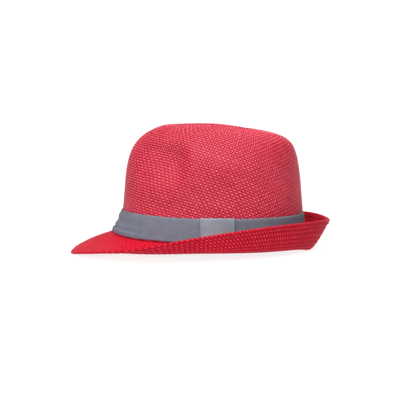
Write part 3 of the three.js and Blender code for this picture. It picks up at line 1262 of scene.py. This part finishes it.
class BrimForm:
    """The brim's middle surface, from the collar inside the crown's foot out to the edge.

    Reach is the mean length along the meridians from the collar's top.
    """

    INNER = Ring("inner", 0.0, 127.0, 92.0, 102.5, (16.8, 15.2, 7.5, 6.2, 3.0, 0.6, -7.6))
    OUTER = Ring("outer", 0.0, 143.0, 106.0, 110.5, (12.4, 10.8, 4.6, 3.2, 1.2, -1.0, -6.2))
    EDGE = Ring("edge", -0.06, 157.2, 118.0, 129.6, (0.2, 5.8, 13.4, 26.0, 33.8, 34.4, 32.0))
    COLLAR_STATIONS = (1.9, 1.3, 0.7, 0.0)
    COLUMNS = 720
    ROLL_ROWS = 60

    # Where the hem's rows lie, as shares of its flat width in from the edge
    HEM_SHARES = (0.75, 0.5, 0.25, 0.0)

    def __init__(self, crown: CrownForm) -> None:
        """Works out a fine table of the surface.

        Args:
            crown: The crown, whose foot the collar stands in.
        """
        self.crown = crown
        angle = TURN * np.arange(self.COLUMNS) / self.COLUMNS
        self.middle, self.halves = self.meridians(angle)
        along = np.gradient(self.middle, axis=0)
        around = np.roll(self.middle, -1, axis=1) - np.roll(self.middle, 1, axis=1)
        self.normal = unit(np.cross(along, around))
        steps = np.linalg.norm(np.diff(self.middle, axis=0), axis=2).mean(axis=1)
        self.reaches = np.concatenate([[0.0], np.cumsum(steps)])
        self.end = float(self.reaches[-1])
        self.roll_start = float(self.reaches[len(self.COLLAR_STATIONS) + 1])

    def at(self, turn: Array, reach: Array) -> tuple[Array, Array, Array]:
        """Reads the table.

        Args:
            turn: The places' turns.
            reach: Their reaches.

        Returns:
            The middle point, the upward normal and half the thickness at each place.
        """
        row = np.interp(reach, self.reaches, np.arange(len(self.reaches)))
        column = (turn % 1) * self.COLUMNS
        i, j = np.minimum(row.astype(int), len(self.reaches) - 2), column.astype(int) % self.COLUMNS
        f, g = (row - i)[:, None], (column - np.floor(column))[:, None]
        beside = (j + 1) % self.COLUMNS
        point, normal = (
            (table[i, j] * (1 - g) + table[i, beside] * g) * (1 - f)
            + (table[i + 1, j] * (1 - g) + table[i + 1, beside] * g) * f
            for table in (self.middle, self.normal))
        return point, unit(normal), np.interp(reach, self.reaches, self.halves)

    def meridians(self, angle: Array) -> tuple[Array, Array]:
        """The brim's middle surface, from the collar's top out to the edge.

        Args:
            angle: The angles of the meridians.

        Returns:
            Points by row and column, and half the thickness of each row.
        """
        sunk = CROWN_WALL + FIT_GAP + BRIM_WALL / 2
        collar = [self.crown.off(angle, np.full_like(angle, s), -sunk) for s in self.COLLAR_STATIONS]
        drop = JOINT_GAP + BRIM_WALL / 2
        foot = self.crown.RINGS[0].points(angle)
        bend = self.crown.off(angle, np.zeros_like(angle), -CROWN_WALL - BEND_INSET)
        bend[:, 2] = foot[:, 2] - drop + FIT_GAP
        foot[:, 2] -= drop
        inner, outer, edge = (ring.points(angle) for ring in (self.INNER, self.OUTER, self.EDGE))
        end_speed = 3 * np.linalg.norm(edge - outer, axis=1)
        fold = 1 - HEM_WIDTH / end_speed
        step = 1 - (HEM_WIDTH - HEM_STEP) / end_speed
        hem = (1 - share * (HEM_WIDTH - HEM_STEP) / end_speed for share in self.HEM_SHARES)
        places = [fold * share for share in np.linspace(0, 1, self.ROLL_ROWS)] + [step, *hem]
        roll = []
        for t in places:
            t = t[:, None]
            roll.append(foot * (1 - t) ** 3 + 3 * inner * t * (1 - t) ** 2
                        + 3 * outer * t ** 2 * (1 - t) + edge * t ** 3)
        rows = np.stack([*collar, bend, *roll])
        halves = np.full(len(rows), BRIM_WALL / 2)
        halves[-len(self.HEM_SHARES) - 1:] = HEM_WALL / 2
        return rows, halves


@dataclass
class Brim(Piece):
    """The woven brim: the collar inside the crown's foot, the roll, and the folded hem.

    Its run goes out along the upper face, over the edge's nose and back along the lower face.
    """

    form: BrimForm
    finish: StrawFinish
    upper: Relief = Relief(wave=0.22, drop=0.34, lead=0.0)
    lower: Relief = Relief(wave=0.24, drop=0.4, lead=0.18)
    plain_columns: int = 160
    NODE = "brim"
    SLOT = "brim"
    NOSE = 3.0
    COLLAR_ROWS = 9
    NOSE_ROWS = 4
    NOSE_COLUMNS = 400
    LATTICE = Lattice(rows=180, ribs=180, row_pitch=4.4, rib_lean=1 / 4.4, swing=-6.4, swing_from=-90,
                      swings=2, rib_swing=6.4)

    # How far on either side of a place its outward direction is measured
    OUTWARD_STEP = 0.5

    def __post_init__(self) -> None:
        """Works out the run at which the lower face is back at the collar's top."""
        self.back = 2 * self.form.end + self.NOSE

    def build(self) -> bpy.types.Object:
        """Makes the brim.

        Returns:
            The finished piece.
        """
        end = self.form.end
        skin = Skin(period=self.back + 1)
        collar = np.linspace(0, self.form.roll_start, self.COLLAR_ROWS).tolist()
        nose = np.linspace(end, end + self.NOSE, self.NOSE_ROWS).tolist()
        under = [self.back - reach for reach in reversed(collar)]
        skin.strip(self.plain_columns, collar)
        skin.weave(self.LATTICE, self.upper, collar[-1], end, lambda reach: reach)
        skin.weld(collar[-1])
        skin.strip(self.NOSE_COLUMNS, nose)
        skin.weld(end)
        skin.weave(self.LATTICE, self.lower, collar[-1], end, lambda reach: self.back - reach, -1.0)
        skin.weld(nose[-1])
        skin.strip(self.plain_columns, under)
        skin.weld(under[0])
        skin.join(under[-1], collar[0])
        made = skin.finish("brim_straw", self.place, {
            MapName.WEAVE.value: self.weave, MapName.BAKE.value: self.bake})
        return self.hand_over(made, self.finish.material())

    def section(self, run: Array) -> tuple[Array, Array]:
        """Where runs lie on the section.

        Args:
            run: The runs.

        Returns:
            The reach, and the height on the section's round nose: 1 above, 0 at its tip, -1 below.
        """
        end = self.form.end
        over = np.clip((run - end) / self.NOSE, 0, 1)
        reach = np.where(run < end + self.NOSE / 2, run, self.back - run)
        return reach, np.cos(np.pi * over)

    def place(self, turn: Array, run: Array) -> Array:
        """Places the vertices.

        Args:
            turn: Their turns.
            run: Their runs.

        Returns:
            Metres in the model's frame.
        """
        reach, above = self.section(run.astype(float))
        inner = np.minimum(reach, self.form.end)
        middle, normal, half = self.form.at(turn, inner)
        farther, nearer = (self.form.at(turn, inner + step)[0]
                           for step in (self.OUTWARD_STEP, -self.OUTWARD_STEP))
        outward = unit(farther - nearer)
        woven = (reach > self.form.roll_start - NEAR) & (reach < self.form.end + NEAR)
        cells = self.LATTICE.cells(turn, reach)
        rise = np.where(run < self.form.end + self.NOSE / 2,
                        self.upper.height(cells), self.lower.height(cells, -1.0))
        thick = (half + np.where(woven, rise, 0.0))[:, None]
        level, ahead = above[:, None], np.sqrt(np.maximum(1 - above ** 2, 0))[:, None]
        return settle(middle + thick * (level * normal + ahead * outward))

    def weave(self, turn: Array, run: Array, middle: Array) -> Array:
        """The weave map, which counts the straws.

        The lower face's rows are counted from an odd number, which puts the other straw on top there.

        Args:
            turn: The turn of each corner.
            run: The run of each corner.
            middle: The turn and the run of the middle of each corner's face.

        Returns:
            The numbers of a row and a rib for each corner.
        """
        below = StrawFinish.LOWER_ROWS * (middle[:, 1] > self.form.end + self.NOSE / 2)
        return self.LATTICE.cells(turn, self.section(run)[0]) + np.stack([below, 0 * below], axis=-1)

    def bake(self, turn: Array, run: Array, middle: Array) -> Array:
        """The bake map: the whole section, in two halves."""
        return in_halves(turn, run / (self.back + 1), middle[:, 0])


@dataclass
class HemStitches(Piece):
    """The line of stitches that holds the brim's hem, on both of its faces."""

    form: BrimForm
    finish: ThreadFinish
    count: int = 300
    length: float = 2.3
    thickness: float = 0.5
    lift: float = 0.2
    inset: float = 3.6
    sides: int = 6
    rows: int = 4
    SLOT = "brim"

    def build(self) -> bpy.types.Object:
        """Makes the stitches.

        Returns:
            The finished piece.
        """
        mesh = bmesh.new()
        turn = np.arange(self.count) / self.count
        centre, normal, _ = self.form.at(turn, np.full(self.count, self.form.end - self.inset))
        ahead = unit(np.roll(centre, -1, axis=0) - np.roll(centre, 1, axis=0))
        size = Matrix.Diagonal((self.length / 2, self.thickness / 2, self.thickness / 2, 1.0))
        for face in (1.0, -1.0):
            middles = settle(centre + face * normal * (HEM_WALL / 2 + self.lift)) / MM
            for middle, way, up in zip(middles, ahead, normal * face):
                basis = Matrix((way, np.cross(up, way), up)).transposed().to_4x4()
                middle[2] = max(middle[2], self.thickness / 2)
                place = Matrix.Diagonal((MM, MM, MM, 1.0)) @ Matrix.Translation(Vector(middle))
                bmesh.ops.create_uvsphere(mesh, u_segments=self.sides, v_segments=self.rows, radius=1.0,
                                          matrix=place @ basis @ size)
        bmesh.ops.recalc_face_normals(mesh, faces=mesh.faces)
        return self.hand_over(soft_object("hem_stitches", mesh), self.finish.material())


@dataclass(frozen=True)
class Pleat:
    """A soft pleat across the ribbon's front: where it lies up the ribbon, its reach and its swell."""

    at: float
    half: float
    swell: float


@dataclass(frozen=True)
class Crease:
    """A slanting crease in the ribbon, at an azimuth in degrees and a share of the ribbon's height.

    half_turn and half are its reach along the ribbon and across it, in the same measures, and slant is
    how far up it goes for each degree.
    """

    azimuth: float
    at: float
    half_turn: float
    half: float
    slant: float
    depth: float

    def push(self, angle: Array, share: Array) -> Array:
        """How far the crease pushes the ribbon in.

        Args:
            angle: The angles of places on it.
            share: Their shares of its height.

        Returns:
            Millimetres for each place.
        """
        turn = degrees_from(self.azimuth, angle)
        across = share - self.at - self.slant * turn
        return self.depth * bump(turn, self.half_turn) * bump(across, self.half)


class RibbonForm:
    """The ribbon's outer face, on the foot of the crown."""

    PLEATS = (
        Pleat(at=0.2, half=0.15, swell=1.4),
        Pleat(at=0.52, half=0.14, swell=1.2),
        Pleat(at=0.82, half=0.12, swell=0.9),
    )
    PLEAT_AZIMUTH = 62.0
    CREASES = (
        Crease(azimuth=82, at=0.72, half_turn=9, half=0.07, slant=-0.008, depth=0.35),
        Crease(azimuth=80, at=0.22, half_turn=10, half=0.07, slant=-0.006, depth=0.35),
        Crease(azimuth=276, at=0.55, half_turn=9, half=0.07, slant=0.008, depth=0.3),
    )

    def __init__(self, crown: CrownForm) -> None:
        """Takes the crown that it lies on."""
        self.crown = crown

    def stand_off(self, angle: Array, share: Array) -> Array:
        """How far the ribbon's outer face stands off the crown.

        Args:
            angle: The angles of places on it.
            share: Their shares of its height.

        Returns:
            Millimetres for each place.
        """
        front = bump(from_front(angle), math.radians(self.PLEAT_AZIMUTH))
        swell = sum(p.swell * bump(share - p.at, p.half) for p in self.PLEATS)
        crease = sum(c.push(angle, share) for c in self.CREASES)
        return FIT_GAP + RIBBON_WALL + front * swell - crease


@dataclass
class Ribbon(Piece):
    """The grey ribbon band, a sheet stretched round the foot of the crown.

    Its run counts the rows up the outer face and back down the inner one. Its lower edge rises a little
    off the brim at LIFT_AZIMUTH, by LIFT of its width.
    """

    form: RibbonForm
    finish: RibbonFinish
    columns: int = 360
    rows: int = 28
    back_rows: int = 8
    length: float = 598.0
    width: float = 29.0
    NODE = "band"
    SLOT = "band"
    LIFT, LIFT_AZIMUTH, LIFT_HALF = 0.05, 50.0, 40.0

    # The share of the thickness that the outer face lacks at its two edges
    EDGE_FALL = 0.3

    def __post_init__(self) -> None:
        """Works out each row's share of the ribbon's height and of its thickness."""
        self.shares = np.concatenate([np.linspace(0, 1, self.rows), np.linspace(1, 0, self.back_rows)])
        outer = np.full(self.rows, 1.0)
        outer[[0, -1]] = 1 - self.EDGE_FALL
        self.layer = np.concatenate([outer, np.zeros(self.back_rows)])

    def build(self) -> bpy.types.Object:
        """Makes the band.

        Returns:
            The finished piece.
        """
        last = len(self.shares) - 1
        skin = Skin(period=last + 1)
        skin.strip(self.columns, range(last + 1))
        skin.join(last, 0)
        made = skin.finish("ribbon_band", self.place, {
            MapName.WEAVE.value: self.weave, MapName.BAKE.value: self.bake})
        self.width * MM
        return self.hand_over(made, self.finish.material())

    def place(self, turn: Array, run: Array) -> Array:
        """Places the vertices.

        Args:
            turn: Their turns.
            run: Their runs.

        Returns:
            Metres in the model's frame.
        """
        row = np.rint(run).astype(int) % len(self.shares)
        share, layer = self.shares[row], self.layer[row]
        angle = TURN * turn.astype(float)
        face = self.form.stand_off(angle, share)
        out = FIT_GAP + (face - FIT_GAP) * layer
        raised = self.LIFT * bump(from_front(angle) - math.radians(self.LIFT_AZIMUTH),
                                  math.radians(self.LIFT_HALF))
        share = share + raised * (1 - share)
        return settle(self.form.crown.off(angle, share * BAND_TOP_STATION, out))

    def weave(self, turn: Array, run: Array, middle: Array) -> Array:
        """Millimetres along and across the ribbon."""
        share = np.interp(run % len(self.shares), np.arange(len(self.shares)), self.shares)
        return np.stack([turn * self.length, share * self.width], axis=-1)

    def bake(self, turn: Array, run: Array, middle: Array) -> Array:
        """The bake map: the whole section, in two halves."""
        return in_halves(turn, run / len(self.shares), middle[:, 0])


@dataclass
class Keeper(Piece):
    """The keeper, a flat sleeve of the same ribbon over the band on the left side.

    Its turn goes up the outer face and back down the inner one, and its run counts the columns along
    the band. front and back say where its ends lie, in millimetres behind the crown's axis, and proud
    is the share of its height that it stands out over the band above and below.
    """

    form: RibbonForm
    finish: RibbonFinish
    front: float = -13.2
    back: float = 22.7
    wall: float = 1.2
    proud: float = 0.02
    columns: int = 36
    rows: int = 26
    length: float = 36.0
    width: float = 29.0
    NODE = "keeper"
    SLOT = "keeper"
    MAP = Island(0.08, 0.92, 0.02, 0.98)

    # The share of the thickness at the two long edges, and what is left of it at the two ends
    EDGE_LAYER = 0.6
    END_LAYER = 0.5

    # How far in from an end the first full column lies, in columns
    END_STEP = 0.15

    def __post_init__(self) -> None:
        """Works out each row's share of the ribbon's height and of the keeper's thickness."""
        shares = np.linspace(-self.proud, 1 + self.proud, self.rows)
        softened = np.ones(self.rows)
        softened[[0, -1]] = self.EDGE_LAYER
        self.shares = np.concatenate([shares, shares[::-1]])
        self.layer = np.concatenate([softened, np.zeros(self.rows)])

    def build(self) -> bpy.types.Object:
        """Makes the keeper.

        Returns:
            The finished piece.
        """
        skin = Skin()
        places = [0.0, self.END_STEP, *range(1, self.columns), self.columns - self.END_STEP,
                  float(self.columns)]
        skin.strip(len(self.shares), places)
        skin.close(0.0, -1.0)
        skin.close(float(self.columns), self.columns + 1.0)
        made = skin.finish("ribbon_keeper", self.place, {
            MapName.WEAVE.value: self.weave, MapName.BAKE.value: self.bake})
        self.width * MM
        return self.hand_over(made, self.finish.material())

    def place(self, turn: Array, run: Array) -> Array:
        """Places the vertices.

        Args:
            turn: Their turns.
            run: Their runs.

        Returns:
            Metres in the model's frame.
        """
        tip = turn < Skin.POLE / 2
        along = np.clip(run, 0, self.columns).astype(float)
        row = np.where(tip, self.rows // 2, np.rint(turn * len(self.shares)).astype(int) % len(self.shares))
        share, layer = self.shares[row], self.layer[row]
        at_end = np.minimum(along, self.columns - along) < self.END_STEP / 2
        thinner = np.where(at_end, self.END_LAYER, 1.0) * np.where(tip, self.END_LAYER, 1.0)
        wall = self.wall * layer * thinner
        place = self.front + (self.back - self.front) * along / self.columns
        station = share * BAND_TOP_STATION
        angle = self.form.crown.angle_at(place, station)
        out = self.form.stand_off(angle, share) + FIT_GAP + wall
        return settle(self.form.crown.off(angle, station, out))

    def weave(self, turn: Array, run: Array, middle: Array) -> Array:
        """Millimetres along and across the ribbon."""
        return np.stack([run / self.columns * self.length, turn * 2 * self.width], axis=-1)

    def bake(self, turn: Array, run: Array, middle: Array) -> Array:
        """The bake map: the sleeve rolled out flat."""
        count = len(self.shares)
        return self.MAP.at(run / self.columns, turn * count / (count + 1))


@dataclass
class Studio:
    """The floor, the lights and the camera."""

    width: float = 6.0
    front: float = 3.0
    back: float = -1.3
    sweep: float = 0.5
    height: float = 1.6
    distance: float = 1.6
    elevation: float = 5.0
    roll: float = 0.83
    lens: float = 129.2
    aim: Point = (0.0, 0.0004, 0.0557)

    # The points along the sweep
    BENDS = 13

    # The floor's own grey and roughness, its glow, and the sky's, all of which light the hat softly
    GREY, ROUGHNESS, GLOW, SKY = 0.25, 0.9, 0.85, 0.08

    # The floor's glow falls from white to this grey, between these squares of the distance to the side
    FAR_WHITE, FADE = 0.45, (0.35, 1.6)

    def floor(self) -> None:
        """Makes the plain pale floor, which sweeps up behind the hat."""
        mesh = bmesh.new()
        bends = np.radians(np.linspace(0, 90, self.BENDS))
        profile = [(self.front, 0.0)]
        profile += [(self.back - self.sweep * math.sin(a), self.sweep * (1 - math.cos(a))) for a in bends]
        profile += [(self.back - self.sweep, self.height)]
        bmesh.ops.create_grid(mesh, x_segments=len(profile) - 1, y_segments=1, size=0.5)
        for vertex in mesh.verts:
            x, z = profile[round((0.5 - vertex.co.x) * (len(profile) - 1))]
            vertex.co = Vector((x, vertex.co.y * self.width, z))
        floor = soft_object("floor", mesh)
        tree = NodeTree("floor_pale")
        place = tree.add("ShaderNodeTexCoord", None, None, "Object")
        across = tree.add("ShaderNodeSeparateXYZ", None, {0: place}, "Y")
        white = tree.mix((across * across).ramp(*self.FADE), (1.0,) * 3, (self.FAR_WHITE,) * 3)
        floor.data.materials.append(tree.dress(
            Base_Color=(self.GREY,) * 3, Roughness=self.ROUGHNESS, Specular_IOR_Level=0.0,
            Emission_Color=white, Emission_Strength=self.GLOW))

    def camera(self) -> None:
        """Sets the camera on the wearer's left, a little above the hat."""
        rise = math.radians(self.elevation)
        aim = Vector(self.aim)
        data = bpy.data.cameras.new("camera")
        data.lens = self.lens
        camera = put_in_scene("camera", data)
        camera.location = aim + self.distance * Vector((math.cos(rise), 0, math.sin(rise)))
        look = (aim - camera.location).to_track_quat("-Z", "Y").to_matrix()
        turn = Matrix.Rotation(-math.radians(self.roll), 3, "Z")
        camera.rotation_euler = (look @ turn).to_euler()
        bpy.context.scene.camera = camera

    def light(self, name: str, place: Point, size: float, power: float) -> None:
        """Adds a soft square light that faces the hat.

        Args:
            name: The light's name.
            place: Where it stands, in metres.
            size: The length of its sides, in metres.
            power: Its power in watts.
        """
        data = bpy.data.lights.new(name, "AREA")
        data.energy = power
        data.size = size
        lamp = put_in_scene(name, data)
        lamp.location = place
        lamp.rotation_euler = (Vector(self.aim) - lamp.location).to_track_quat("-Z", "Y").to_euler()

    def build(self) -> None:
        """Sets the studio up."""
        self.camera()
        self.floor()
        self.light("top", (0.35, -0.25, 1.8), 0.8, 27.0)
        self.light("front", (1.5, -1.2, 0.8), 0.8, 10.0)
        self.light("side", (1.8, -0.6, 0.5), 0.6, 17.0)
        self.light("back", (0.6, 0.9, 1.6), 0.8, 19.0)
        world = bpy.data.worlds.new("studio")
        world.use_nodes = True
        sky = world.node_tree.nodes["Background"].inputs
        sky["Color"].default_value = (1, 1, 1, 1)
        sky["Strength"].default_value = self.SKY
        bpy.context.scene.world = world
        bpy.context.scene.view_settings.view_transform = "Standard"


def main() -> None:
    """Builds the hat's pieces in order and sets up the studio."""
    logging.basicConfig(level=logging.INFO, format="%(name)s: %(message)s")
    Studio().build()
    # The under colour gives the ribs on top painted shade and darkens random patches and straws
    straw = dict(body=linear(184, 12, 36), under=linear(150, 6, 28))
    crown_form = CrownForm()
    ribbon_form = RibbonForm(crown_form)
    # The gap colour is painted shade and the lit colour a painted highlight
    crown_straw = StrawFinish(
        "straw_crown", gap_shade=linear(40, 0, 8), lit=linear(246, 92, 116), gloss=0.17, **straw)
    Crown(crown_form, crown_straw).build()
    brim_form = BrimForm(crown_form)
    # The brim's painted gap shade is lighter and its painted highlight weaker, and its upper face is calmer
    brim_straw = StrawFinish(
        "straw_brim", gap_shade=linear(98, 0, 14), lit=linear(232, 58, 80), calm=0.75, dim=0.68,
        gloss=0.02, **straw)
    Brim(brim_form, brim_straw).build()
    HemStitches(brim_form, ThreadFinish("thread_red", linear(196, 24, 48))).build()
    grey = dict(body=linear(91, 96, 109), pale=linear(117, 121, 133))
    Ribbon(ribbon_form, RibbonFinish("ribbon_grey", speckle=0.15, **grey)).build()
    light_grey = dict(body=linear(110, 116, 128), pale=linear(141, 145, 155))
    Keeper(ribbon_form, RibbonFinish("ribbon_light_grey", speckle=0.5, **light_grey)).build()


if __name__ == "__main__":
    main()
